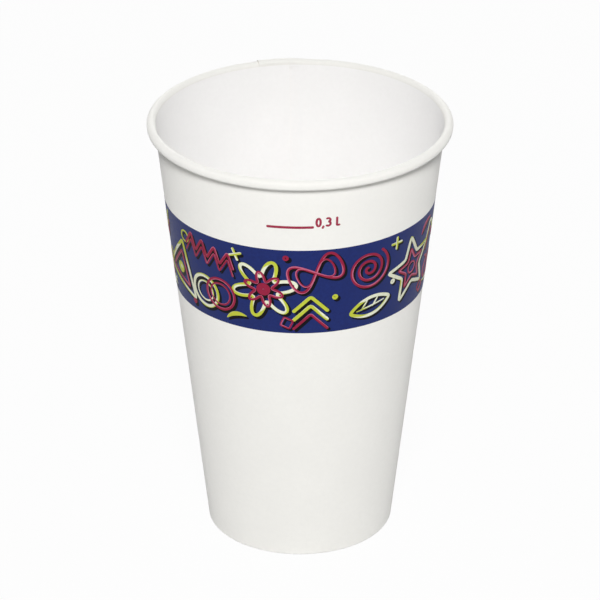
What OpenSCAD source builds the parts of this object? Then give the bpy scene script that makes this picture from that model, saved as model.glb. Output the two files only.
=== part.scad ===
// Paper cold drink cup: a side wall rolled from one board blank and a base board sealed into its foot.
// Millimetres, +Z up, origin on the table at the middle of the foot.

/* [Cup] */
// Outside diameter over the rolled rim
rim_d = 81; // [70:0.5:100]
// Overall height, table to top of the rim
cup_h = 118.8; // [90:0.2:160]
// Outside diameter of the wall where it meets the table
base_d = 50.4; // [44:0.2:60]

/* [Board] */
// Thickness of the wall board
wall_t = 0.36; // [0.25:0.01:0.45]
// Thickness of the base board
base_t = 0.3; // [0.2:0.01:0.4]
// Melted coating between layers that are sealed together
seal_t = 0.02; // [0.01:0.01:0.05]

/* [Rolled rim] */
// Width of the roll, outside
curl_d = 2.4; // [2:0.1:4]
// How much taller the roll is than it is wide
curl_drop = 0.4; // [0.1:0.05:1]
// Gap between the tucked-in end of the roll and the wall
tuck_gap = 0.08; // [0.05:0.01:0.15]
// Turn of the tucked-in end, after the first three quarters of a turn
tuck_deg = 130; // [60:5:170]

/* [Foot] */
// Height of the base board's underside above the table
recess_h = 7.2; // [5:0.1:12]
// Inside bend radius between the base board and its skirt
base_bend_r = 0.6; // [0.3:0.1:1.5]
// Gap between the hem's cut edge and the bend of the base board
hem_gap = 0.8; // [0.3:0.1:2]
// How far the fold at the foot is pressed flat
foot_press = 0.06; // [0.02:0.01:0.15]

/* [Side seam] */
// Direction of the outer cut edge, counter-clockwise from +X
seam_deg = 107; // [0:1:359]
// Width of the overlap, at half height
lap_w = 7; // [5:0.5:10]
// How far the roll stands proud where it takes in both layers
seam_rise = 0.25; // [0.1:0.05:0.35]

/* [Print] */
// Height of the lower edge of the printed band
band_z = 72; // [40:0.5:85]
// Width of the printed band, measured up the axis
band_h = 25.4; // [15:0.2:28]

/* [Hidden] */
$fn = 180;
paper_white = "#f3f2ee";
band_blue = "#24306f";
arc_steps = 12;
spare = 1;
// Turn of the roll that shows the overlap, from just inside the lip to its underside
seam_from = 160;
seam_to = -80;
// How far the straight run of the overlapping board starts below the wall's outer face
run_dip = 0.06;

rim_r = rim_d / 2;
base_r = base_d / 2;
curl_r = curl_d / 2;
tuck_r = curl_r - wall_t - tuck_gap;
curl_c = [rim_r - curl_r, cup_h - curl_r];

// Lean of the wall from upright: the inner face touches the roll, the outer face meets the table at base_r
taper = curl_c.x - base_r;
lean = acos((curl_r - wall_t) / norm([taper, curl_c.y])) - atan2(curl_c.y, taper);
wall_across = wall_t / cos(lean);

// The hem folds up inside the foot and holds the base board's skirt
hem_slot = base_t + 2 * seal_t;
fold_r = hem_slot / 2 + wall_t;
wall_len = (curl_c.y + (curl_r + hem_slot / 2) * sin(lean) - fold_r + foot_press) / cos(lean);
bend_z = recess_h - base_bend_r;
hem_len = (bend_z - hem_gap - fold_r) / cos(lean);
base_top = recess_h + base_t;

// Angles of the side seam at half height: the overlap, and the straight run that brings the board out to it
seam_r = wall_r(cup_h / 2);
lap_deg = lap_w / seam_r * 180 / PI;
run_deg = acos((seam_r - run_dip) / (seam_r + wall_across));
inner_edge_deg = seam_deg - lap_deg;
run_start_deg = inner_edge_deg - run_deg;
lap_z = fold_r;
lap_top = curl_c.y - curl_r / 2;

// Radius of the wall's outer face at height z
function wall_r(z) = base_r + z * tan(lean);

// A point given along and across the wall, from the middle of the roll, as radius and height
function on_wall(across, along) =
    curl_c + across * [cos(lean), -sin(lean)] + along * [sin(lean), cos(lean)];

function arc(centre, r, from, to) =
    [for (i = [0:arc_steps]) let (a = from + (to - from) * i / arc_steps) centre + r * [cos(a), sin(a)]];

module ring(r, t) {
    difference() {
        circle(r);
        circle(r - t);
    }
}

// Section of a layer wrapped over the roll: half a turn over the top, straight down the outside, a quarter turn under
module roll_wrap(r, t) {
    difference() {
        ring(r, t);
        translate([-2 * curl_d, -2 * curl_d]) square([4 * curl_d, 2 * curl_d]);
    }
    translate([r - t, -curl_drop]) square([t, curl_drop]);
    translate([0, -curl_drop]) intersection() {
        ring(r, t);
        translate([0, -2 * curl_d]) square(2 * curl_d);
    }
}

// Section of the roll about the middle of its upper half, with its end tucked up inside
module roll_section() {
    roll_wrap(curl_r, wall_t);
    translate([0, tuck_r - curl_r - curl_drop]) intersection() {
        ring(tuck_r, wall_t);
        polygon(concat([[0, 0]], arc([0, 0], curl_d, -90, -90 - tuck_deg)));
    }
}

// Section of the fold at the foot and of the hem that stands up inside it, about the middle of the fold
module hem_section() {
    difference() {
        ring(fold_r, wall_t);
        translate([-curl_d, 0]) square(2 * curl_d);
    }
    translate([-fold_r, 0]) square([wall_t, hem_len]);
}

// Section of the whole wall board, from the roll down to the hem, pressed flat on the table
module board_section() {
    difference() {
        translate(curl_c) rotate(-lean) {
            roll_section();
            translate([-curl_r, -wall_len]) square([wall_t, wall_len]);
            translate([-curl_r - hem_slot / 2, -wall_len]) hem_section();
        }
        translate([0, -spare]) square([rim_d, spare]);
    }
}

// All that lies on the axis side of the straight run, off its outer face by off
module behind_run(off) {
    rotate(run_start_deg) translate([base_r - run_dip + off, 0, 0]) rotate([0, lean, 0])
        translate([-rim_d, -rim_d, -cup_h]) cube([rim_d, 2 * rim_d, 3 * cup_h]);
}

// The outer layer of the overlap: it leaves the wall in a straight run and ends in a square cut edge
module lap() {
    intersection() {
        rotate(run_start_deg) rotate_extrude(angle = run_deg + lap_deg) polygon([
            [wall_r(lap_z) - wall_across / 2, lap_z],
            [wall_r(lap_z) + wall_across, lap_z],
            [wall_r(lap_top) + wall_across, lap_top],
            [wall_r(lap_top) - wall_across / 2, lap_top]]);
        behind_run(0);
    }
}

// The step inside the cup, where the outer layer runs out from behind the inner cut edge
module inner_step() {
    intersection() {
        rotate(run_start_deg) rotate_extrude(angle = run_deg)
            translate([base_r / 2, base_top]) square([rim_r, lap_top - wall_t - base_top]);
        behind_run(-wall_across);
    }
}

// The roll stands proud where it takes in both layers of the overlap
module roll_lap() {
    rotate(inner_edge_deg) rotate_extrude(angle = lap_deg) translate(curl_c) rotate(-lean) intersection() {
        roll_wrap(curl_r + seam_rise, wall_t / 2 + seam_rise);
        polygon(concat(
            [[0, 0]],
            arc([0, 0], 2 * curl_d, seam_from, 0),
            arc([0, -curl_drop], 2 * curl_d, 0, seam_to),
            [[0, -curl_drop]]));
    }
}

module wall_board() {
    difference() {
        union() {
            rotate(run_start_deg + run_deg / 2) rotate_extrude() board_section();
            lap();
            roll_lap();
        }
        inner_step();
    }
}

// The part of the board, outside its middle, that carries the printed band
module printed_side() {
    difference() {
        translate([-rim_d, -rim_d, band_z]) cube([2 * rim_d, 2 * rim_d, band_h]);
        rotate(run_start_deg + run_deg / 2)
            cylinder(h = cup_h, r1 = wall_r(0) - wall_across / 2, r2 = wall_r(cup_h) - wall_across / 2);
    }
}

module side_wall() {
    color(paper_white) difference() {
        wall_board();
        printed_side();
    }
    color(band_blue) intersection() {
        wall_board();
        printed_side();
    }
}

module base_disc() {
    bend_off = wall_t + seal_t + base_t + base_bend_r;
    bend_c = [wall_r(bend_z) - bend_off / cos(lean), bend_z];
    skirt_end = -wall_len + seal_t;
    color(paper_white) rotate_extrude() polygon(concat(
        [[0, base_top]],
        arc(bend_c, base_bend_r + base_t, 90, -lean),
        [on_wall(-curl_r - seal_t, skirt_end), on_wall(-curl_r - seal_t - base_t, skirt_end)],
        arc(bend_c, base_bend_r, -lean, 90),
        [[0, recess_h]]));
}

side_wall();
base_disc();
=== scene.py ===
from math import acos, atan2, cos, degrees, hypot, pi, radians, sin, tan
from types import SimpleNamespace

import bpy
import numpy as np
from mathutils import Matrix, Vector


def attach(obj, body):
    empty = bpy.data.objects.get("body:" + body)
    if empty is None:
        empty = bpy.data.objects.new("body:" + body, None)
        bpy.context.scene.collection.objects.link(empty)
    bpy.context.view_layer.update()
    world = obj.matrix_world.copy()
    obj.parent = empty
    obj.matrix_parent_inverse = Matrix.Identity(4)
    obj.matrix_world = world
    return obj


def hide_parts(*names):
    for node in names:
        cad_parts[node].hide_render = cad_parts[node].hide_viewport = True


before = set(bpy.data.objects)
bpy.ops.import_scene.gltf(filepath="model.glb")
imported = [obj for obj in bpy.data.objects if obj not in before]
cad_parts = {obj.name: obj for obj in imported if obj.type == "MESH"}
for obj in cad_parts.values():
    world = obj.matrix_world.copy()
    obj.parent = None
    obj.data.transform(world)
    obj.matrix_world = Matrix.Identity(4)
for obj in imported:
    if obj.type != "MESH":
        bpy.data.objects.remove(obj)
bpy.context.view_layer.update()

bl_info = {
    "name": "Paper cold drink cup",
    "version": (1, 0, 0),
    "blender": (4, 5, 0),
    "location": "View3D > Sidebar > Cup",
    "description": "Builds a printed paper cup with a rolled rim, a lapped wall and a fill mark",
    "category": "Object",
}

MM = 0.001
# Columns of the wall for each pressed rib in the hem, and of the base board all round
RIB_COLUMNS = 6
BASE_COLUMNS = 180
# Half the width of the narrow column that stands for a cut edge, in degrees
CUT_EDGE = 0.012
# Length of one repeat of the drawing as it is written below, in millimetres
TILE_LENGTH = 107.0
# Repeats of the drawing round the cup
TILE_REPEATS = 2
# Bare band left on each side of the outer cut edge, in millimetres
TILE_MARGIN = 1.3
# Noise along the fibres, which run up the cup, against noise across them
FIBRE_STRETCH = (1.0, 1.0, 0.25)
# Plain white as a shader's colour, and how much of it a floor seen as a background has
WHITE = (1.0, 1.0, 1.0, 1.0)
FLOOR_GLOW = 0.96
# Width of the camera's sensor, in millimetres
SENSOR = 36.0
# Direction of the side with the fill line, in degrees from +X, and the line's two ends beside it
FRONT = 270.0
BAR_LEFT, BAR_RIGHT = -8.78, 3.63


def length(name, description, default):
    """A size in metres, shown with its unit."""
    return bpy.props.FloatProperty(
        name=name, description=description, default=default, unit="LENGTH", precision=5)


def angle(name, description, default_deg):
    """An angle, given in degrees and kept in radians."""
    return bpy.props.FloatProperty(
        name=name, description=description, default=radians(default_deg), unit="ROTATION",
        subtype="ANGLE")


def power(name, description, watts):
    """The power of a lamp."""
    return bpy.props.FloatProperty(name=name, description=description, default=watts, unit="POWER")


def colour(name, description, rgb_255):
    """A colour as it looks on screen, kept in linear light."""
    return bpy.props.FloatVectorProperty(
        name=name, description=description, subtype="COLOR", size=3, min=0.0, max=1.0,
        default=[linear(v) for v in rgb_255])


def linear(v):
    """One channel of a screen colour from 0 to 255, as linear light: a straight line near black,
    and a power of 2.4 above it."""
    v = v / 255.0
    return v / 12.92 if v <= 0.04045 else ((v + 0.055) / 1.055) ** 2.4


class CupBoard(bpy.types.PropertyGroup):
    """Sizes of the two pieces of board."""

    height: length("Height", "Table to the top of the roll", 0.1188)
    rim_radius: length("Rim radius", "Outside of the roll", 0.0405)
    foot_radius: length("Foot radius", "Outside of the wall where it meets the table", 0.0252)
    wall_board: length("Wall board", "Thickness of the wall board", 0.00036)
    base_board: length("Base board", "Thickness of the base board", 0.0003)
    seal: length("Seal", "Melted coating between sealed layers", 0.00002)
    roll: length("Roll", "Width of the rolled rim, outside", 0.0024)
    roll_drop: length("Roll drop", "How much taller the rolled rim is than it is wide", 0.0004)
    tuck_gap: length("Tuck gap", "Gap between the tucked end of the roll and the wall", 0.00008)
    tuck_turn: angle("Tuck turn", "Turn of the tucked end after three quarters of a turn", 130)
    recess: length("Recess", "Height of the base board's underside", 0.0072)
    base_bend: length("Base bend", "Inside bend radius of the base board's edge", 0.0006)
    hem_gap: length("Hem gap", "Gap between the hem's cut edge and the base board's bend", 0.0008)
    foot_press: length("Foot press", "How far the fold at the foot is pressed flat", 0.00006)
    seam: angle("Seam", "Direction of the outer cut edge, from +X", 107)
    lap: length("Lap", "Width of the overlap at half height", 0.007)
    run_dip: length("Run dip", "Start of the straight run below the wall's outer face", 0.00006)
    seam_rise: length("Seam rise", "How far the roll stands proud at the overlap", 0.00025)
    knurl: length("Knurl", "Depth of the pressed ribs inside the foot", 0.00012)
    ribs: bpy.props.IntProperty(
        name="Ribs", description="Number of pressed ribs inside the foot", default=118)
    white: colour("Board white", "Coated board", (245, 244, 240))
    # The inside white is lighter than the board white. This is partly the inside's own coating,
    # and partly painted light for the brighter light inside the cup.
    inside: colour("Inside white", "Coated inside of the wall", (251, 250, 249))
    core: colour("Board core", "Cut edge of the board", (233, 228, 216))


class CupPrint(bpy.types.PropertyGroup):
    """Sizes and colours of the print."""

    band_low: length("Band low edge", "Height of the band's lower edge", 0.072)
    band_high: length("Band high edge", "Height of the band's upper edge", 0.0974)
    film: length("Film", "Height that a layer of ink stands above the one below", 0.00003)
    stroke: length("Stroke", "Width of the drawn lines", 0.00098)
    shade_right: length("Shade right", "How far the shade lies to the right of a line", 0.0006)
    shade_down: length("Shade down", "How far the shade lies below a line", 0.0006)
    mark_height: length("Mark height", "Height of the fill line", 0.1044)
    mark_line: length("Fill line", "Width of the fill line", 0.00072)
    mark_stroke: length("Figure stroke", "Width of the figures' strokes", 0.0006)
    figure_height: length("Figure height", "Height of the figures", 0.0028)
    blue: colour("Band blue", "Field of the band", (20, 38, 104))
    shade: colour("Shade", "Shade beside the drawn lines", (6, 6, 12))
    red: colour("Red", "Red lines", (154, 28, 63))
    pink: colour("Pink", "Light edge of the red lines", (205, 108, 138))
    lime: colour("Lime", "Yellow-green lines", (200, 208, 66))
    cream: colour("Cream", "Light edge of the yellow-green lines", (244, 246, 224))
    mark: colour("Mark red", "Fill line and figures", (163, 50, 75))


class CupStage(bpy.types.PropertyGroup):
    """Camera and light."""

    distance: length("Distance", "Camera to the point that it looks at", 1.008)
    elevation: angle("Elevation", "Camera above the horizon", 26.875)
    aim: length("Aim height", "Height of the point that the camera looks at", 0.0649)
    lens: bpy.props.FloatProperty(
        name="Lens", description="Focal length", default=223.8, unit="CAMERA")
    key: power("Key", "Power of the front light", 21.3)
    side: power("Side", "Power of each side light", 1.0)
    back: power("Back", "Power of the back light", 8.0)
    ambient: bpy.props.FloatProperty(
        name="Ambient", description="Light from all round", default=0.03)


def cup_form():
    """Sizes that follow from the board's sizes. The wall's inner face is tangent to the roll and
    its outer face meets the table at the foot's radius, which gives its lean from upright."""
    b = bpy.context.scene.cup_board
    f = SimpleNamespace(height=b.height, foot_r=b.foot_radius, board=b.wall_board)
    f.run_dip, f.roll_r, f.roll_drop = b.run_dip, b.roll / 2, b.roll_drop
    f.tuck_r = f.roll_r - f.board - b.tuck_gap
    f.mid_r, f.mid_z = b.rim_radius - f.roll_r, b.height - f.roll_r
    taper = f.mid_r - f.foot_r
    f.lean = acos((f.roll_r - f.board) / hypot(taper, f.mid_z)) - atan2(f.mid_z, taper)
    f.board_across = f.board / cos(f.lean)
    f.hem_slot = b.base_board + 2 * b.seal
    f.fold_r = f.hem_slot / 2 + f.board
    upright = f.mid_z + (f.roll_r + f.hem_slot / 2) * sin(f.lean) - f.fold_r + b.foot_press
    f.wall_len = upright / cos(f.lean)
    f.bend_z = b.recess - b.base_bend
    f.hem_len = (f.bend_z - b.hem_gap - f.fold_r) / cos(f.lean)
    f.base_top = b.recess + b.base_board
    mid = wall_radius(f, b.height / 2)
    f.lap_deg = degrees(b.lap / mid)
    f.run_deg = degrees(acos((mid - f.run_dip) / (mid + f.board_across)))
    f.seam_deg = degrees(b.seam)
    f.run_start = f.seam_deg - f.lap_deg - f.run_deg
    f.lap_top = f.mid_z - f.roll_r / 2
    return f


def wall_radius(f, z):
    """Radius of the wall's outer face: the foot's radius plus the height times the tangent of the
    lean."""
    return f.foot_r + z * tan(f.lean)


def to_section(f, across, along):
    """Radius and height of a point given across and along the wall from the middle of the roll: a
    turn by the lean."""
    r = f.mid_r + across * cos(f.lean) + along * sin(f.lean)
    z = f.mid_z - across * sin(f.lean) + along * cos(f.lean)
    return r, z


def past_run_start(f, phi):
    """Degrees from the start of the straight run, counter-clockwise."""
    return np.mod(phi - f.run_start, 360.0)


def ease(x, low, high):
    """Zero below low, one above high and a smooth cubic between, or falling where low is above
    high."""
    u = np.clip((x - low) / (high - low), 0.0, 1.0)
    return u * u * (3.0 - 2.0 * u)


def straight_run(f, radius, past):
    """Rise of the overlapping board over a face of this radius: a straight line leaves the circle
    a little inside it, so its radius is that start over the cosine of the turn, and it reaches one
    board at the overlap's edge."""
    full = np.arccos((radius - f.run_dip) / (radius + f.board_across))
    turn = np.clip(past / f.run_deg, 0.0, 1.0) * full
    return np.clip((radius - f.run_dip) / np.cos(turn) - radius, 0.0, f.board_across)


def outer_rise(f, radius, phi):
    """Rise of the wall's outer face at a direction in degrees: the straight run, then one board up
    to the cut edge."""
    past = past_run_start(f, phi)
    return np.where(past <= f.run_deg + f.lap_deg, straight_run(f, radius, past), 0.0)


def inner_rise(f, radius, phi):
    """Set-back of the wall's inner face: the straight run up to the inner cut edge, and nothing
    beyond it."""
    past = past_run_start(f, phi)
    return np.where(past <= f.run_deg, straight_run(f, radius, past), 0.0)


def out_of_round(f, phi, z):
    """The small wander of a paper cone: three cosines of the direction, growing with height and
    never outward."""
    a = np.radians(phi)
    waves = ((0.5, 2, 0.7), (0.3, 3, 2.2), (0.2, 5, -0.9))
    wander = sum(share * np.cos(lobes * a + start) for share, lobes, start in waves) - 1.0
    reach = 0.05 * MM
    return reach * wander * np.clip(z / f.height, 0.0, 1.0)


def polar(radius, phi, z):
    """Points from radius, direction in degrees and height: the radius times the direction's cosine
    and sine, and the height."""
    a = np.radians(phi)
    return np.stack([radius * np.cos(a), radius * np.sin(a), z + 0.0 * radius], axis=-1)


def on_wall(f, phi, z, lift):
    """Points of the printed face: the wall's radius, with the overlap and the wander, plus the
    ink's height."""
    radius = wall_radius(f, z)
    return polar(radius + outer_rise(f, radius, phi) + out_of_round(f, phi, z) + lift, phi, z)


def arc(centre, radius, start, stop, count):
    """Points of an arc, as offsets across and along the wall: centre plus radius times cosine and
    sine."""
    a = np.radians(np.linspace(start, stop, count))
    return np.stack([centre[0] + radius * np.cos(a), centre[1] + radius * np.sin(a)], axis=1)


def run(start, stop, count):
    """Points of a straight line between two offsets: a mean of the two, whose weight goes evenly
    from one to the other."""
    u = np.linspace(0.0, 1.0, count)[:, None]
    return np.array(start) * (1 - u) + np.array(stop) * u


def board_loop(f):
    """The wall board's section as one closed loop of offsets: from the tucked end over the roll,
    down the inside, round the fold and up the hem, then back on the other face. Returns the points
    and the name of each one's part."""
    low_roll = (0.0, -f.roll_drop)
    low_tuck = (0.0, f.tuck_r - f.roll_r - f.roll_drop)
    fold_mid = (-f.roll_r - f.hem_slot / 2, -f.wall_len)
    hem_top = -f.wall_len + f.hem_len
    hem_out, hem_in = -f.roll_r - f.hem_slot, -f.roll_r - f.hem_slot - f.board
    end = -90.0 - degrees(bpy.context.scene.cup_board.tuck_turn)
    # Rows stand close where the overlap comes in under the roll, at the base board and at the foot
    near_roll = np.array([0.0, 0.1, 0.3, 0.6, 0.9, 1.3, 2.0]) * MM
    near_base = f.wall_len - f.base_top + np.array([-0.5, -0.25, 0.0, 0.2]) * MM
    near_foot = f.wall_len - np.array([2.0, 0.8, 0.5, 0.3, 0.1, 0.0]) * MM
    inside = np.concatenate([
        near_roll, np.linspace(0.1, 0.9, 7) * f.wall_len, near_base,
        [f.wall_len - 3 * MM, f.wall_len]])
    outside = np.concatenate([near_roll, np.linspace(0.08, 0.92, 11) * f.wall_len, near_foot])
    wall_in = np.stack([np.full(len(inside), -f.roll_r), -inside], axis=1)
    wall_out = np.stack([np.full(len(outside), -f.roll_r + f.board), -outside], axis=1)[::-1]
    parts = [
        ("tuck_out", arc(low_tuck, f.tuck_r, end, -90, 9)),
        ("roll_out", arc(low_roll, f.roll_r, -90, 0, 12)[1:]),
        ("roll_out", arc((0, 0), f.roll_r, 0, 180, 23)),
        ("wall_in", wall_in[1:]),
        ("fold_in", arc(fold_mid, f.hem_slot / 2, 0, -180, 7)[1:]),
        ("hem_out", run((hem_out, -f.wall_len), (hem_out, hem_top), 4)[1:]),
        ("hem_in", run((hem_in, hem_top), (hem_in, -f.wall_len), 10)),
        ("fold_out", arc(fold_mid, f.fold_r, -180, 0, 13)[1:]),
        ("wall_out", wall_out[1:]),
        ("roll_in", arc((0, 0), f.roll_r - f.board, 180, 0, 10)[1:]),
        ("roll_in", arc(low_roll, f.roll_r - f.board, 0, -90, 6)),
        ("tuck_in", arc(low_tuck, f.tuck_r - f.board, -90, end, 7)[1:]),
    ]
    points = np.concatenate([p for _, p in parts])
    names = np.concatenate([[n] * len(p) for n, p in parts])
    return points, names


def directions(f, count):
    """Columns of the wall: an even turn, with close pairs of columns at the two cut edges and more
    on the run."""
    inner_edge = f.run_start + f.run_deg
    edges = [edge + side for edge in (inner_edge, f.seam_deg) for side in (-CUT_EDGE, CUT_EDGE)]
    extra = np.concatenate([f.run_start + f.run_deg * np.linspace(0, 0.97, 12), edges])
    even = past_run_start(f, np.arange(count) * 360.0 / count + f.seam_deg)
    extra = past_run_start(f, extra)
    clear = np.abs(even[:, None] - extra[None, :]).min(axis=1) > 10 * CUT_EDGE
    return np.sort(np.concatenate([even[clear], extra])) + f.run_start


def roll_swell(f, loop, phi, rise):
    """Offsets across and along where the roll takes in both layers: a rise along the roll's own
    normal, which eases in over the straight run, stops at the outer cut edge, and fades inside the
    lip and under the roll."""
    past = past_run_start(f, phi)
    swell = rise * ease(past, 0.25 * f.run_deg, f.run_deg) * (past <= f.run_deg + f.lap_deg)
    across, along = loop[:, :1], loop[:, 1:]
    turn = np.degrees(np.arctan2(along - np.clip(along, -f.roll_drop, 0.0), across))
    swell = swell * ease(turn, 176.0, 150.0) * ease(turn, -84.0, -60.0)
    return swell * np.cos(np.radians(turn)), swell * np.sin(np.radians(turn))


def hem_ribs(f, loop, phi, depth, count):
    """Depth of the ribs pressed into the hem: a raised cosine of the direction, which fades at the
    hem's two ends."""
    up = (loop[:, 1:] + f.wall_len) / f.hem_len
    pressed = depth * (0.5 - 0.5 * np.cos(count * np.radians(phi - f.seam_deg)))
    return pressed * ease(up, 0.04, 0.16) * ease(up, 0.98, 0.86)


def wall_surface(f):
    """The wall board as a function of its section and the direction: the section turned about the
    axis, moved out at the overlap on each face, swollen on the roll at the seam, ribbed inside the
    hem and flat at the table."""
    b = bpy.context.scene.cup_board
    loop, names = board_loop(f)
    phi = directions(f, RIB_COLUMNS * b.ribs)
    height = to_section(f, loop[:, :1], loop[:, 1:])[1]
    radius = wall_radius(f, height)
    rise_out = outer_rise(f, radius, phi) * ease(height, 0.5 * MM, 0.8 * MM)
    rise_out = rise_out * ease(height, f.lap_top + 0.1 * MM, f.lap_top - 0.3 * MM)
    rise_in = inner_rise(f, radius - f.board_across, phi)
    rise_in = rise_in * ease(height, f.base_top, f.base_top + 0.3 * MM)
    rise_in = rise_in * ease(height, f.mid_z - 0.2 * MM, f.mid_z - 1.2 * MM)
    swell_across, swell_along = roll_swell(f, loop, phi, b.seam_rise)
    ribs = hem_ribs(f, loop, phi, b.knurl, b.ribs)
    across, along = loop[:, :1], loop[:, 1:]
    moved = {"wall_out": rise_out, "wall_in": rise_in, "roll_out": swell_across, "hem_in": ribs}
    for part, move in moved.items():
        across = across + np.where((names == part)[:, None], move, 0.0)
    along = along + np.where((names == "roll_out")[:, None], swell_along, 0.0)
    r, z = to_section(f, across, along)
    points = polar(r + out_of_round(f, phi, z), phi, np.maximum(z, 0.0))
    return points, names, phi


def wall_finishes(f, names, phi):
    """The number of each face's finish in the wall's grid: nought for the coated board, two for
    the inside of the wall, whose lighter white is partly painted light, and one for a bare cut
    edge, which is a narrow column at an edge of the overlap, or the row at the end of the hem or
    of the tucked end."""
    past = past_run_start(f, phi)
    narrow = np.mod(np.roll(past, -1) - past, 360.0) < 3 * CUT_EDGE
    near = 40 * CUT_EDGE
    at_inner = narrow & (np.abs(past - f.run_deg) < near)
    at_outer = narrow & (np.abs(past - f.run_deg - f.lap_deg) < near)
    inside = (names == "wall_in")[:, None]
    cut = inside & at_inner | np.isin(names, ("wall_out", "roll_out"))[:, None] & at_outer
    cut[-1, :] = True
    cut[np.flatnonzero(names == "hem_out")[-1], :] = True
    return np.where(cut, 1, np.where(inside, 2, 0)).ravel()


def closed_grid_faces(rows, columns):
    """Quads of a grid that closes both ways, facing out of a loop that runs down its inner
    side."""
    i, j = np.meshgrid(np.arange(rows), np.arange(columns), indexing="ij")
    i2, j2 = (i + 1) % rows, (j + 1) % columns
    corners = [i * columns + j, i * columns + j2, i2 * columns + j2, i2 * columns + j]
    return np.stack(corners, axis=-1).reshape(-1, 4)


def slab_faces(rows, columns):
    """Quads of a closed slab: an outer grid, an inner grid of the same shape behind it, and the
    four edges."""
    n = rows * columns
    i, j = np.meshgrid(np.arange(rows - 1), np.arange(columns - 1), indexing="ij")
    a = (i * columns + j).reshape(-1)
    outer = np.stack([a, a + 1, a + columns + 1, a + columns], axis=1)
    inner = outer[:, ::-1] + n
    k, m = np.arange(columns - 1), np.arange(rows - 1) * columns
    last = (rows - 1) * columns
    low = np.stack([k + 1, k, k + n, k + 1 + n], axis=1)
    high = np.stack([last + k, last + k + 1, last + k + 1 + n, last + k + n], axis=1)
    left = np.stack([m, m + columns, m + columns + n, m + n], axis=1)
    e = m + columns - 1
    right = np.stack([e + columns, e, e + n, e + columns + n], axis=1)
    return np.concatenate([outer, inner, low, high, left, right])


def make_piece(name, points, faces, materials, face_material=None, values=None, sharp_deg=32.0):
    """A mesh object at the origin from points and arrays of quads or triangles, with smooth faces,
    sharp edges by angle, and named values on its points."""
    mesh = bpy.data.meshes.new(name)
    points = np.asarray(points, np.float32).reshape(-1, 3)
    corners = np.concatenate([np.ravel(part) for part in faces]).astype(np.int32)
    sides = [np.full(len(part), np.shape(part)[1], np.int32) for part in faces]
    sides = np.concatenate(sides)
    mesh.vertices.add(len(points))
    mesh.vertices.foreach_set("co", points.ravel())
    mesh.loops.add(len(corners))
    mesh.loops.foreach_set("vertex_index", corners)
    mesh.polygons.add(len(sides))
    mesh.polygons.foreach_set("loop_start", np.cumsum(sides, dtype=np.int32) - sides)
    mesh.polygons.foreach_set("use_smooth", np.ones(len(sides), dtype=bool))
    for m in materials:
        mesh.materials.append(m)
    if face_material is not None:
        mesh.polygons.foreach_set("material_index", np.asarray(face_material, np.int32))
    mesh.update(calc_edges=True)
    mesh.set_sharp_from_angle(angle=radians(sharp_deg))
    for key, value in (values or {}).items():
        data = mesh.attributes.new(key, "FLOAT", "POINT").data
        data.foreach_set("value", np.asarray(value, np.float32).ravel())
    if mesh.validate():
        raise RuntimeError(f"{name}: the mesh has faces that don't hold")
    piece = bpy.data.objects.new(name, mesh)
    bpy.context.scene.collection.objects.link(piece)
    return piece


def place(piece, slot, *nodes):
    """The piece rides on the cup, and may stand for CAD nodes, which it hides."""
    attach(piece, "root")
    if nodes:
        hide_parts(*nodes)


class Shader:
    """A material made of nodes, with short calls to add and join them. Patterns read Object
    coordinates, so a scale of 1000 is about one cloud of noise to the millimetre."""

    def __init__(self, name):
        self.material = bpy.data.materials.new(name)
        self.material.use_nodes = True
        self.tree = self.material.node_tree
        self.surface = self.tree.nodes["Principled BSDF"]
        self.coords = self.add("ShaderNodeTexCoord").outputs["Object"]

    def add(self, kind, inputs=None, **settings):
        """A node with its settings, and its inputs as values or as links from other nodes."""
        node = self.tree.nodes.new(kind)
        for key, value in settings.items():
            setattr(node, key, value)
        for key, value in (inputs or {}).items():
            self.join(value, node.inputs[key])
        return node

    def join(self, value, socket):
        """A link where the value is a socket, or a plain value."""
        if isinstance(value, bpy.types.NodeSocket):
            self.tree.links.new(value, socket)
        else:
            socket.default_value = value

    def noise(self, scale, detail, stretch=(1.0, 1.0, 1.0)):
        """Noise on Object coordinates, stretched along the axes."""
        mapped = self.add("ShaderNodeMapping", {"Vector": self.coords, "Scale": stretch})
        return self.add("ShaderNodeTexNoise", {
            "Vector": mapped.outputs["Vector"], "Scale": scale, "Detail": detail}).outputs["Fac"]

    def to_range(self, value, low, high, start=0.3, stop=0.7):
        """A value from start to stop, carried to low and high."""
        return self.add("ShaderNodeMapRange", {
            "Value": value, "From Min": start, "From Max": stop, "To Min": low, "To Max": high,
        }).outputs["Result"]

    def math(self, operation, a, b):
        """One sum of two values."""
        return self.add("ShaderNodeMath", {0: a, 1: b}, operation=operation).outputs["Value"]

    def mix(self, fac, a, b):
        """Two colours by a factor."""
        node = self.add("ShaderNodeMix", data_type="RGBA")
        self.join(fac, node.inputs["Factor"])
        for value, socket in ((a, node.inputs[6]), (b, node.inputs[7])):
            self.join(value if isinstance(value, bpy.types.NodeSocket) else (*value, 1.0), socket)
        return node.outputs[2]

    def bump(self, height, distance, strength):
        """Relief on the surface's normal."""
        relief = self.add("ShaderNodeBump", {
            "Height": height, "Distance": distance, "Strength": strength})
        self.join(relief.outputs["Normal"], self.surface.inputs["Normal"])

    def look(self, **values):
        """Values and links for the surface's own inputs, by name with an underscore for each
        space."""
        for key, value in values.items():
            self.join(value, self.surface.inputs[key.replace("_", " ")])


def shaded(colour_value, share):
    """A colour made darker by a share: each channel times one less the share."""
    return tuple(c * (1.0 - share) for c in colour_value)


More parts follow.
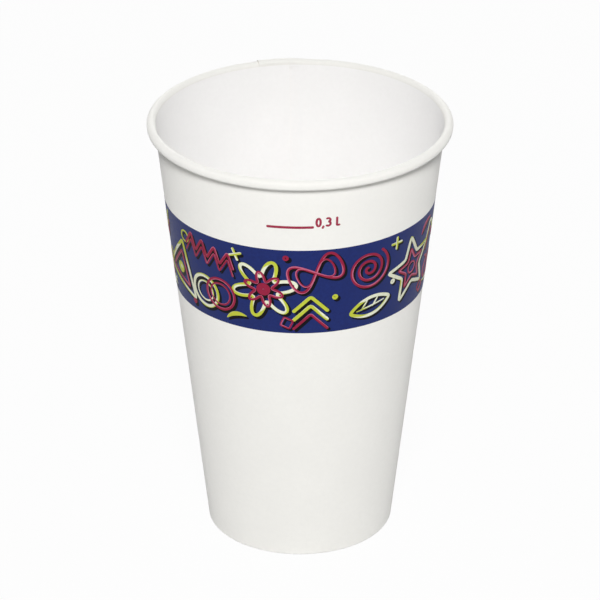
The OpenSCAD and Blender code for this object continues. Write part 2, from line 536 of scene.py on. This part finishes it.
def board_finish(name, white, gloss):
    """Coated board: cloudy and finely mottled white, long fibres in the relief and a soft gloss
    that varies."""
    s = Shader(name)
    clouds = s.to_range(s.noise(70.0, 3.0), 0.0, 1.0)
    mottle = s.to_range(s.noise(900.0, 3.0), 0.0, 1.0)
    tone = s.mix(clouds, shaded(white, 0.02), white)
    tone = s.mix(s.math("MULTIPLY", mottle, 0.5), tone, shaded(white, 0.045))
    roughness = s.to_range(mottle, 0.50, 0.62, 0.0, 1.0)
    s.look(Base_Color=tone, Roughness=roughness, Specular_IOR_Level=gloss, Diffuse_Roughness=0.5)
    fibres = s.noise(1500.0, 4.0, FIBRE_STRETCH)
    waviness = s.math("MULTIPLY", s.noise(260.0, 2.0), 0.8)
    s.bump(s.math("ADD", fibres, waviness), 0.03 * MM, 0.5)
    return s.material


def edge_finish(name, core):
    """Cut edge of the board: bare, matt and a little creamier, with layered fibres."""
    s = Shader(name)
    layers = s.to_range(s.noise(5200.0, 2.0, (1.0, 1.0, 0.2)), 0.0, 1.0)
    tone = s.mix(layers, shaded(core, 0.08), core)
    s.look(Base_Color=tone, Roughness=0.85, Specular_IOR_Level=0.15)
    return s.material


def field_finish(name, ink, gloss):
    """Printed field: an even ink with the fine mottle of the board under it and a satin gloss."""
    s = Shader(name)
    mottle = s.to_range(s.noise(1300.0, 3.0), 0.0, 1.0)
    clouds = s.to_range(s.noise(110.0, 2.0), 0.0, 1.0)
    tone = s.mix(mottle, shaded(ink, 0.14), tuple(min(1.0, c * 1.12 + 0.002) for c in ink))
    tone = s.mix(s.math("MULTIPLY", clouds, 0.35), tone, shaded(ink, 0.10))
    roughness = s.to_range(mottle, 0.46, 0.58, 0.0, 1.0)
    s.look(Base_Color=tone, Roughness=roughness, Specular_IOR_Level=gloss)
    s.bump(s.noise(1500.0, 4.0, FIBRE_STRETCH), 0.02 * MM, 0.3)
    return s.material


def line_finish(name, ink, light, from_side, to_side, fade):
    """Drawn line: ink with a light edge on one side, which widens and narrows along the line by
    the fade."""
    s = Shader(name)
    across = s.add("ShaderNodeAttribute", attribute_name="across").outputs["Fac"]
    wander = s.to_range(s.noise(95.0, 1.0), -fade, fade, 0.38, 0.62)
    lit = s.to_range(s.math("ADD", across, wander), 0.0, 1.0, from_side, to_side)
    mottle = s.to_range(s.noise(1300.0, 3.0), 0.0, 0.16)
    tone = s.mix(mottle, s.mix(lit, ink, light), shaded(ink, 0.25))
    s.look(Base_Color=tone, Roughness=0.5, Specular_IOR_Level=0.2)
    return s.material


class CUP_OT_wall(bpy.types.Operator):
    """Build the wall board with its roll, seam, fold and hem"""

    bl_idname = "cup.wall"
    bl_label = "Wall board"

    def execute(self, context):
        b = context.scene.cup_board
        f = cup_form()
        points, names, phi = wall_surface(f)
        faces = [closed_grid_faces(*points.shape[:2])]
        finishes = [
            board_finish("coated_board", b.white, 0.2), edge_finish("board_cut_edge", b.core),
            # The inside's finish is the board's finish in a lighter white. This is partly painted
            # light for the brighter inside of the cup.
            board_finish("coated_inside_with_painted_light", b.inside, 0.2)]
        piece = make_piece("wall_board", points, faces, finishes, wall_finishes(f, names, phi))
        place(piece, "white_board", "side_wall")
        return {"FINISHED"}


def base_surface(f, b):
    """The base board: a section of a flat disc, a bend and a skirt, turned about the axis. A fan
    of triangles about a point on the axis closes the middle of each face."""
    off = f.board + b.seal + b.base_board + b.base_bend
    mid = np.array([wall_radius(f, f.bend_z) - off / cos(f.lean), f.bend_z])
    lean = degrees(f.lean)
    skirt = np.array([-f.roll_r - b.seal, -f.roll_r - b.seal - b.base_board])
    skirt_end = np.stack(to_section(f, skirt, -f.wall_len + b.seal), axis=1)
    reach = mid[0] * np.linspace(1.0, 0.0, 14)[:-1, None]
    top = np.concatenate([reach, np.full_like(reach, f.base_top)], axis=1)[::-1]
    under = np.concatenate([reach, np.full_like(reach, b.recess)], axis=1)
    section = np.concatenate([
        top, arc(mid, b.base_bend + b.base_board, 90, -lean, 9)[1:], skirt_end,
        arc(mid, b.base_bend, -lean, 90, 9), under[1:]])
    phi = np.arange(BASE_COLUMNS) * 360.0 / BASE_COLUMNS
    rings = polar(section[:, :1] + 0.0 * phi, phi, section[:, 1:])
    points = np.concatenate([rings.reshape(-1, 3), [[0.0, 0.0, f.base_top], [0.0, 0.0, b.recess]]])
    last, pole = (len(section) - 1) * BASE_COLUMNS, len(section) * BASE_COLUMNS
    quads = closed_grid_faces(len(section), BASE_COLUMNS)[:last, ::-1]
    j = np.arange(BASE_COLUMNS)
    j2 = (j + 1) % BASE_COLUMNS
    top_fan = np.stack([np.full(BASE_COLUMNS, pole), j, j2], axis=1)
    under_fan = np.stack([np.full(BASE_COLUMNS, pole + 1), last + j2, last + j], axis=1)
    return points, [quads, top_fan, under_fan]


class CUP_OT_base(bpy.types.Operator):
    """Build the base board with its skirt"""

    bl_idname = "cup.base"
    bl_label = "Base board"

    def execute(self, context):
        b = context.scene.cup_board
        points, faces = base_surface(cup_form(), b)
        finish = board_finish("coated_base_board", b.white, 0.15)
        piece = make_piece("base_board", points, faces, [finish])
        place(piece, "base_board", "base_disc")
        return {"FINISHED"}


def band_surface(f, p):
    """The band's field: a slab from its low edge to its high edge, from one side of the outer cut
    edge round to the other, with more columns on the straight run."""
    even = f.seam_deg + np.linspace(0.03, 359.97, 721)
    on_run = f.run_start + 360.0 + f.run_deg * np.linspace(0, 1, 12)
    phi = np.sort(np.concatenate([even, on_run]))
    z = np.linspace(p.band_low, p.band_high, 7)[:, None]
    outer, inner = (on_wall(f, phi[None, :], z, lift) for lift in (p.film, -2 * p.film))
    points = np.concatenate([outer.reshape(-1, 3), inner.reshape(-1, 3)])
    return points, [slab_faces(*outer.shape[:2])]


class CUP_OT_band(bpy.types.Operator):
    """Print the band's field of colour round the wall"""

    bl_idname = "cup.band"
    bl_label = "Printed band"

    def execute(self, context):
        p = context.scene.cup_print
        points, faces = band_surface(cup_form(), p)
        piece = make_piece("band_field", points, faces, [field_finish("band_ink", p.blue, 0.2)])
        place(piece, "band_ink")
        return {"FINISHED"}


def even_points(points, count, closed, crowded=False):
    """A line's points spaced evenly along it, or crowded towards its two ends, and each one's way
    along it."""
    if closed:
        points = np.concatenate([points, points[:1]])
    along = np.concatenate([[0.0], np.cumsum(np.hypot(*np.diff(points, axis=0).T))])
    u = np.linspace(0.0, 1.0, count)
    u = along[-1] * (0.5 - 0.5 * np.cos(pi * u) if crowded else u)
    return np.stack([np.interp(u, along, points[:, k]) for k in (0, 1)], axis=1), u


def softened(points, closed, reach):
    """A line with its corners rounded: evenly spaced points, each the weighted mean of those
    within reach."""
    points, along = even_points(points, 480, closed)
    half = max(1, int(round(reach / along[1])))
    kernel = np.hanning(2 * half + 3)[1:-1]
    kernel = kernel / kernel.sum()
    if closed:
        ring = points[:-1]
        padded = np.concatenate([ring[-half:], ring, ring[:half]])
    else:
        before = 2 * points[0] - points[1:half + 1][::-1]
        after = 2 * points[-1] - points[-half - 1:-1][::-1]
        padded = np.concatenate([before, points, after])
    return np.stack([np.convolve(padded[:, k], kernel, "valid") for k in (0, 1)], axis=1)


def ribbon(points, closed, width, swell, count):
    """A flat ribbon along a line: each point moved half the width to both sides along the line's
    normal. An open ribbon has round ends, and swell makes it widest in the middle."""
    points, along = even_points(points, count, closed, crowded=not closed)
    if closed:
        ring = points[:-1]
        tangent = np.roll(ring, -1, axis=0) - np.roll(ring, 1, axis=0)
        tangent = np.concatenate([tangent, tangent[:1]])
    else:
        tangent = np.gradient(points, axis=0)
    tangent = tangent / np.maximum(np.hypot(tangent[:, 0], tangent[:, 1]), 1e-9)[:, None]
    normal = np.stack([-tangent[:, 1], tangent[:, 0]], axis=1)
    half = np.full(count, width / 2)
    if swell is not None:
        half = half * (1.0 - swell + swell * np.sin(pi * along / along[-1]))
    if not closed:
        d = np.minimum(along, along[-1] - along) / half.clip(1e-6)
        half = half * np.sqrt(np.clip(d * (2.0 - d), 0.0, 1.0) * (d < 1.0) + (d >= 1.0))
        blunt = 0.02 * width
        half = np.maximum(half, blunt)
    return np.stack([points - normal * half[:, None], points + normal * half[:, None]])


def turned(points, degrees_turn, x, y):
    """Points turned about the origin, by the cosine and sine of the turn, and then moved."""
    a = radians(degrees_turn)
    return points @ np.array([[cos(a), sin(a)], [-sin(a), cos(a)]]) + np.array([x, y])


def spiral(size, turns):
    """Radius grows with the angle."""
    a = np.linspace(0.9, 2 * pi * turns, 400)
    return (size * a / a[-1])[:, None] * np.stack([np.cos(a), np.sin(a)], axis=1)


def star(size, points):
    """Corners on two circles in turn."""
    a = pi / 2 + np.arange(2 * points) * pi / points
    r = np.where(np.arange(2 * points) % 2 == 0, size, size * 0.46)
    return r[:, None] * np.stack([np.cos(a), np.sin(a)], axis=1)


def polygon(size, sides):
    """Corners on one circle."""
    a = pi / 2 + np.arange(sides) * 2 * pi / sides
    return size * np.stack([np.cos(a), np.sin(a)], axis=1)


def circle(size):
    """Points on one circle."""
    return polygon(size, 120)


def wave(length_mm, height, cycles):
    """A sine along a line."""
    u = np.linspace(-0.5, 0.5, 300)
    return np.stack([length_mm * u, height * np.sin(2 * pi * cycles * u)], axis=1)


def loops(length_mm, size, count):
    """A point on a rolling circle, outside its rim, so that the line loops over itself."""
    a = np.linspace(-pi * count, pi * count, 500)
    x = length_mm * a / (2 * pi * count) - size * np.sin(a)
    return np.stack([x, -size * np.cos(a)], axis=1)


def zigzag(length_mm, height, teeth):
    """Corners up and down in turn."""
    k = np.arange(2 * teeth + 1)
    return np.stack([length_mm * (k / (2 * teeth) - 0.5), height * (k % 2 * 2.0 - 1.0)], axis=1)


def blossom(size, petals):
    """Radius swings with a cosine of the angle."""
    a = np.linspace(0, 2 * pi, 361)[:-1]
    r = size * (0.70 + 0.30 * np.cos(petals * a))
    return r[:, None] * np.stack([np.cos(a), np.sin(a)], axis=1)


def figure_eight(size):
    """Cosine across, and sine times cosine up."""
    a = np.linspace(0, 2 * pi, 361)[:-1]
    return size * np.stack([np.cos(a), 1.15 * np.sin(a) * np.cos(a)], axis=1)


def chevron(size):
    """Two straight arms."""
    return np.array([[-size, -0.55 * size], [0.0, 0.45 * size], [size, -0.55 * size]])


def bow(length_mm, rise):
    """A shallow arch: a parabola."""
    u = np.linspace(-1, 1, 120)
    return np.stack([length_mm / 2 * u, rise * (1 - u * u)], axis=1)


def leaf(size):
    """Two arches that meet in points."""
    u = np.linspace(-1, 1, 120)
    arch = np.stack([u, 0.42 * (1 - u * u)], axis=1)
    return size * np.concatenate([arch, -arch[1:-1]])


def dash(length_mm):
    """A straight line."""
    return run((-length_mm / 2, 0.0), (length_mm / 2, 0.0), 30)


def tile():
    """One repeat of the drawing in millimetres, back to front: the shape, whether it closes, its
    place along and up the band, its turn in degrees, its ink, its width, and how much its width
    swells."""
    line = bpy.context.scene.cup_print.stroke / MM
    fine, thin = 0.75 * line, 0.5 * line
    return [
        (spiral(6.3, 3.1), False, 8.2, 4.7, 20, "red", fine, None),
        (leaf(6.4), True, 9.6, -7.0, 12, "lime", line, None),
        (dash(9.0), False, 9.6, -7.0, 12, "lime", thin, 0.5),
        (dash(3.4), False, 7.6, -6.4, 58, "lime", thin, 0.5),
        (dash(3.4), False, 11.0, -5.8, 58, "lime", thin, 0.5),
        (star(9.9, 5), True, 24.4, -0.4, 10, "lime", line, None),
        (star(6.0, 5), True, 24.4, -0.4, 10, "red", fine, None),
        (circle(1.7), True, 24.4, -0.5, 0, "red", thin, None),
        (wave(20.0, 2.4, 2.5), False, 41.4, 7.4, 8, "lime", line, None),
        (wave(20.0, 2.4, 2.5), False, 41.8, 4.8, 8, "red", thin, None),
        (loops(16.0, 3.3, 3), False, 40.8, -5.6, -8, "red", fine, None),
        (dash(15.0), False, 41.2, -10.0, -8, "lime", line, 0.6),
        (polygon(9.6, 3), True, 57.6, -2.4, -16, "lime", line, None),
        (polygon(6.0, 3), True, 57.6, -2.4, -16, "red", fine, None),
        (circle(0.9), True, 57.6, -2.4, 0, "lime", 1.8, None),
        (zigzag(17.0, 2.3, 4), False, 71.0, 8.0, -9, "red", fine, None),
        (zigzag(17.0, 2.3, 4), False, 70.8, 5.9, -9, "red", thin, None),
        (circle(4.6), True, 68.8, -5.0, 0, "lime", line, None),
        (circle(4.6), True, 74.2, -4.2, 0, "red", fine, None),
        (circle(3.2), True, 74.2, -4.2, 0, "red", thin, None),
        (circle(2.9), True, 68.8, -5.0, 0, "lime", thin, None),
        (blossom(9.0, 6), True, 87.2, 0.3, 12, "lime", line, None),
        (blossom(5.4, 6), True, 87.2, 0.3, 42, "red", fine, None),
        (circle(1.0), True, 87.2, 0.3, 0, "red", 2.0, None),
        (figure_eight(7.2), True, 100.8, 5.8, 24, "red", fine, None),
        (figure_eight(5.0), True, 100.8, 5.8, 24, "red", thin, None),
        (chevron(4.8), False, 99.6, -3.6, 0, "lime", line, None),
        (chevron(4.8), False, 99.6, -6.3, 0, "lime", line, None),
        (chevron(4.8), False, 99.6, -9.0, 0, "red", fine, None),
        (dash(4.0), False, 16.8, 9.8, 0, "lime", fine, None),
        (dash(4.0), False, 16.8, 9.8, 90, "lime", fine, None),
        (circle(0.5), True, 16.6, -1.8, 0, "lime", 1.0, None),
        (bow(6.5, 1.1), False, 31.2, 9.0, 30, "red", 1.3, 0.8),
        (polygon(1.9, 4), True, 31.6, -9.4, 0, "red", thin, None),
        (dash(3.4), False, 49.8, -9.8, 45, "lime", fine, None),
        (dash(3.4), False, 49.8, -9.8, 135, "lime", fine, None),
        (polygon(1.9, 4), True, 49.6, -2.0, 12, "lime", thin, None),
        (circle(0.5), True, 63.6, -10.2, 0, "red", 1.0, None),
        (circle(1.6), True, 62.0, 8.8, 0, "lime", thin, None),
        (dash(4.0), False, 79.8, 9.6, 20, "lime", fine, None),
        (dash(4.0), False, 79.8, 9.6, 110, "lime", fine, None),
        (bow(6.5, 1.1), False, 79.0, -10.0, 16, "lime", 1.3, 0.8),
        (polygon(1.9, 4), True, 93.2, -9.6, 20, "red", thin, None),
        (circle(0.5), True, 93.2, 10.4, 0, "red", 1.0, None),
        (circle(0.5), True, 106.0, -2.0, 0, "lime", 1.0, None),
    ]


class Sheet:
    """Ribbons gathered into one mesh of closed slabs on the wall."""

    def __init__(self):
        self.points, self.faces, self.across, self.count = [], [], [], 0

    def add(self, f, edges, front_deg, middle, radius, low, high):
        """A ribbon given in millimetres right of front and up the wall, laid on the wall between
        two heights of ink. Its outer face rises a little along its length, so that it lies over
        itself where it crosses."""
        share = np.array([0.0, 0.5, 1.0])
        grid = edges[0] + (edges[1] - edges[0]) * share[:, None, None]
        phi = front_deg + np.degrees(grid[..., 0] * MM / radius)
        z = middle + grid[..., 1] * MM * cos(f.lean)
        climb = 0.003 * MM
        rise = climb * np.linspace(0.0, 1.0, grid.shape[1])
        for lift in (high + rise, low):
            self.points.append(on_wall(f, phi, z, lift).reshape(-1, 3))
            self.across.append(np.repeat(share, grid.shape[1]))
        self.faces.append(slab_faces(*grid.shape[:2]) + self.count)
        self.count += 2 * grid.shape[0] * grid.shape[1]

    def piece(self, name, slot, finish):
        """The gathered ribbons as one piece."""
        made = make_piece(name, np.concatenate(self.points), self.faces, [finish],
                          values={"across": np.concatenate(self.across)}, sharp_deg=50.0)
        place(made, slot)


class CUP_OT_drawing(bpy.types.Operator):
    """Print the drawn lines and their shade on the band"""

    bl_idname = "cup.drawing"
    bl_label = "Drawn lines"

    def execute(self, context):
        p = context.scene.cup_print
        f = cup_form()
        middle = (p.band_low + p.band_high) / 2
        radius = wall_radius(f, middle)
        pitch = (2 * pi * radius / MM - 2 * TILE_MARGIN) / TILE_REPEATS
        away = np.array([p.shade_right, -p.shade_down]) / MM
        sheets = {ink: Sheet() for ink in ("shade", "red", "lime")}
        height = {"shade": 1.6 * p.film, "lime": 2.2 * p.film, "red": 2.8 * p.film}
        # Neighbours in the list lie at four slightly different heights, clear of each other
        steps = 0.004 * MM * np.arange(4)
        for copy in range(TILE_REPEATS):
            for order, (shape, closed, x, y, turn, ink, width, swell) in enumerate(tile()):
                soft = softened(shape, closed, 1.35 * min(width, p.stroke / MM))
                at = turned(soft, turn, TILE_MARGIN + pitch * (copy + x / TILE_LENGTH), y)
                small = np.ptp(soft, axis=0).max() < 5.0
                count = 48 if small else 160
                shade = ribbon(at + away, closed, 1.3 * width, swell, count)
                sheets["shade"].add(f, shade, f.seam_deg, middle, radius, 0.0, height["shade"])
                line = ribbon(at, closed, width, swell, count)
                high = height[ink] + steps[order % 4]
                sheets[ink].add(f, line, f.seam_deg, middle, radius, 0.4 * p.film, high)
        red = line_finish("red_ink", p.red, p.pink, 0.72, 0.92, 0.3)
        lime = line_finish("lime_ink", p.lime, p.cream, 0.4, 0.7, 0.8)
        sheets["shade"].piece("drawn_shade", "shade_ink", field_finish("shade_ink", p.shade, 0.1))
        sheets["red"].piece("drawn_red", "red_ink", red)
        sheets["lime"].piece("drawn_lime", "lime_ink", lime)
        return {"FINISHED"}


def figures(height):
    """The capacity in strokes, in millimetres from the front's middle: a nought, a comma, a three
    and a letter L, each with whether it closes and its place along the fill line."""
    h = height / MM
    foot = 0.26
    a = np.linspace(0, 2 * pi, 121)[:-1]
    nought = np.stack([0.53 * np.cos(a), h / 2 + (h / 2 - foot) * np.sin(a)], axis=1)
    comma = np.array([[0.16, 0.42], [0.10, 0.0], [-0.18, -0.52]])
    top, low = (np.radians(np.linspace(*turn)) for turn in ((150, -80, 50), (85, -150, 60)))
    r_top, r_low = 0.24 * h - foot / 2, 0.28 * h - foot / 2
    upper = np.stack([0.56 * np.cos(top) - 0.08, h - foot + r_top * (np.sin(top) - 1.0)], axis=1)
    lower = np.stack([0.62 * np.cos(low) - 0.08, foot + r_low * (np.sin(low) + 1.0)], axis=1)
    three = np.concatenate([upper, lower])
    letter = np.array([[-0.38, h - 0.05], [-0.38, foot], [0.52, foot]])
    return [
        (nought, True, 4.78), (comma, False, 5.92), (three, False, 7.36), (letter, False, 9.98)]


class CUP_OT_fill_mark(bpy.types.Operator):
    """Print the fill line and its capacity"""

    bl_idname = "cup.fill_mark"
    bl_label = "Fill mark"

    def execute(self, context):
        p = context.scene.cup_print
        f = cup_form()
        radius = wall_radius(f, p.mark_height)
        bar = run((BAR_LEFT, 0.0), (BAR_RIGHT, 0.0), 40)
        ribbons = [ribbon(bar, False, p.mark_line / MM, None, 200)]
        for shape, closed, x in figures(p.figure_height):
            stroke = turned(softened(shape, closed, 0.16), 0.0, x, 0.0)
            ribbons.append(ribbon(stroke, closed, p.mark_stroke / MM, None, 90))
        sheet = Sheet()
        for edges in ribbons:
            sheet.add(f, edges, FRONT, p.mark_height, radius, -p.film, p.film)
        sheet.piece("fill_mark", "mark_ink", field_finish("mark_ink", p.mark, 0.2))
        return {"FINISHED"}


def background_rays(tree):
    """One for camera, glossy and transmission rays, and zero for the rest."""
    path = tree.nodes.new("ShaderNodeLightPath").outputs
    seen = path["Is Camera Ray"]
    for kind in ("Is Glossy Ray", "Is Transmission Ray"):
        both = tree.nodes.new("ShaderNodeMath")
        both.operation = "MAXIMUM"
        tree.links.new(seen, both.inputs[0])
        tree.links.new(path[kind], both.inputs[1])
        seen = both.outputs["Value"]
    return seen


class CUP_OT_stage(bpy.types.Operator):
    """Set up the floor, the light and the camera"""

    bl_idname = "cup.stage"
    bl_label = "Stage"

    def execute(self, context):
        scene = context.scene
        g = scene.cup_stage
        scene.view_settings.view_transform = "Standard"
        self.floor()
        self.sky(scene, g.ambient)
        aim = Vector((0.0, 0.0, g.aim))
        self.lamp(scene, "front_light", aim, g.key, size=0.4, around=0.0, up=41.0, away=1.6)
        self.lamp(scene, "left_light", aim, g.side, size=0.7, around=-85.0, up=60.0, away=1.5)
        self.lamp(scene, "right_light", aim, g.side, size=0.7, around=85.0, up=60.0, away=1.5)
        self.lamp(scene, "back_light", aim, g.back, size=0.9, around=180.0, up=18.0, away=1.6)
        camera = bpy.data.objects.new("camera", bpy.data.cameras.new("camera"))
        camera.data.sensor_width = SENSOR
        camera.data.lens = g.lens
        camera.data.clip_start, camera.data.clip_end = 0.05, 20.0
        self.stand(scene, camera, aim, 0.0, g.elevation, g.distance)
        scene.camera = camera
        return {"FINISHED"}

    def stand(self, scene, thing, aim, around, up, away):
        """Put a camera or a lamp where it faces the aim, from an angle right of front and an angle
        up."""
        flat = cos(up)
        thing.location = aim + away * Vector((sin(around) * flat, -cos(around) * flat, sin(up)))
        thing.rotation_euler = (aim - thing.location).to_track_quat("-Z", "Y").to_euler()
        scene.collection.objects.link(thing)

    def lamp(self, scene, name, aim, watts, size, around, up, away):
        """A square soft light that faces the aim, from degrees right of front and degrees up."""
        data = bpy.data.lights.new(name, "AREA")
        data.energy, data.size = watts, size
        thing = bpy.data.objects.new(name, data)
        self.stand(scene, thing, aim, radians(around), radians(up), away)

    def floor(self):
        """A wide pale floor that the camera sees near white, with the object's shadow on it. It
        lies a little below the table's height, clear of the foot."""
        side, low = 6.0, -0.05 * MM
        corners = [[-side, -side, low], [side, -side, low], [side, side, low], [-side, side, low]]
        floor = make_piece("floor", corners, [[[0, 1, 2, 3]]], [self.floor_finish()])

    def floor_finish(self):
        """White paint, mixed with plain white for rays that see the floor as a background."""
        s = Shader("floor_paint")
        s.look(Base_Color=(0.75, 0.75, 0.75, 1.0), Roughness=0.9, Specular_IOR_Level=0.1)
        glow = s.add("ShaderNodeEmission", {"Color": WHITE, "Strength": 1.0})
        share = s.math("MULTIPLY", background_rays(s.tree), FLOOR_GLOW)
        blend = s.add("ShaderNodeMixShader", {
            0: share, 1: s.surface.outputs[0], 2: glow.outputs[0]})
        s.join(blend.outputs[0], s.tree.nodes["Material Output"].inputs["Surface"])
        return s.material

    def sky(self, scene, strength):
        """Even light from all round, and plain white for rays that see it as a background."""
        world = bpy.data.worlds.new("studio")
        world.use_nodes = True
        scene.world = world
        tree = world.node_tree
        light, white = tree.nodes["Background"], tree.nodes.new("ShaderNodeBackground")
        light.inputs["Color"].default_value = white.inputs["Color"].default_value = WHITE
        light.inputs["Strength"].default_value = strength
        blend = tree.nodes.new("ShaderNodeMixShader")
        mixed = (background_rays(tree), light.outputs[0], white.outputs[0])
        for socket, value in zip(blend.inputs, mixed):
            tree.links.new(value, socket)
        tree.links.new(blend.outputs[0], tree.nodes["World Output"].inputs["Surface"])


STEPS = (CUP_OT_wall, CUP_OT_base, CUP_OT_band, CUP_OT_drawing, CUP_OT_fill_mark, CUP_OT_stage)


class CUP_PT_panel(bpy.types.Panel):
    """The cup's sizes and the steps that build it"""

    bl_label = "Paper cup"
    bl_idname = "CUP_PT_panel"
    bl_space_type = "VIEW_3D"
    bl_region_type = "UI"
    bl_category = "Cup"

    def draw(self, context):
        """A button for each step, then a box for each group of sizes."""
        for step in STEPS:
            self.layout.operator(step.bl_idname)
        for group in (context.scene.cup_board, context.scene.cup_print, context.scene.cup_stage):
            box = self.layout.box()
            for key in group.__annotations__:
                box.prop(group, key)


CLASSES = (CupBoard, CupPrint, CupStage, *STEPS, CUP_PT_panel)


def register():
    """Add the classes and the groups of sizes to Blender."""
    for item in CLASSES:
        bpy.utils.register_class(item)
    bpy.types.Scene.cup_board = bpy.props.PointerProperty(type=CupBoard)
    bpy.types.Scene.cup_print = bpy.props.PointerProperty(type=CupPrint)
    bpy.types.Scene.cup_stage = bpy.props.PointerProperty(type=CupStage)


def unregister():
    """Take them away again, in the opposite order."""
    del bpy.types.Scene.cup_stage, bpy.types.Scene.cup_print, bpy.types.Scene.cup_board
    for item in reversed(CLASSES):
        bpy.utils.unregister_class(item)


def main():
    """Register, and build every piece and the stage in order."""
    register()
    bpy.ops.cup.wall()
    bpy.ops.cup.base()
    bpy.ops.cup.band()
    bpy.ops.cup.drawing()
    bpy.ops.cup.fill_mark()
    bpy.ops.cup.stage()


if __name__ == "__main__":
    main()
